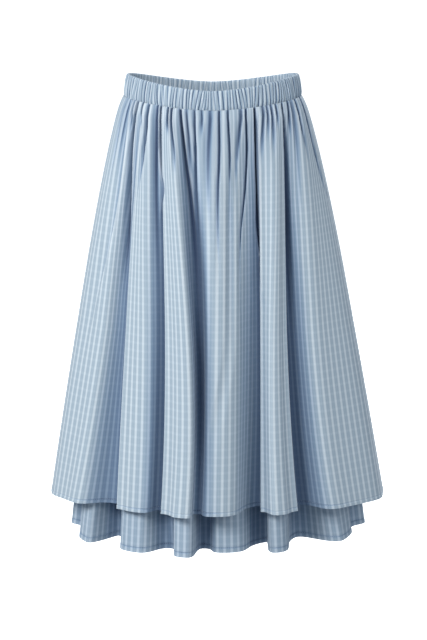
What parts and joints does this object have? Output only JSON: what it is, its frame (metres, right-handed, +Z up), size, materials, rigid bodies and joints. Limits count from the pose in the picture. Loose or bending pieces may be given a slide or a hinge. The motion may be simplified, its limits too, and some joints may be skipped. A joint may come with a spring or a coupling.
{
  "type": "layered gathered skirt",
  "caption": "Filled-out gathered midi skirt with a ruched elastic waistband and a longer under layer that shows below the outer hem.",
  "frame": {"origin": "centre of the waist opening, midway between the waistband's top and its seam at the front", "axes": "+Z up towards the waist opening, the front of the skirt faces -Y, +X to the right as seen from the front"},
  "size_m": [0.5572, 0.3888, 0.7689],
  "materials": {
    "checked_cloth": "matte woven check in light blue",
    "ruched_casing": "the same checked cloth, ruched over elastic"
  },
  "bodies": {
    "root": {"waistband_front": "ruched_casing", "waistband_back": "ruched_casing", "outer_front": "checked_cloth", "outer_back": "checked_cloth", "under_front": "checked_cloth", "under_back": "checked_cloth"}
  },
  "joints": []
}
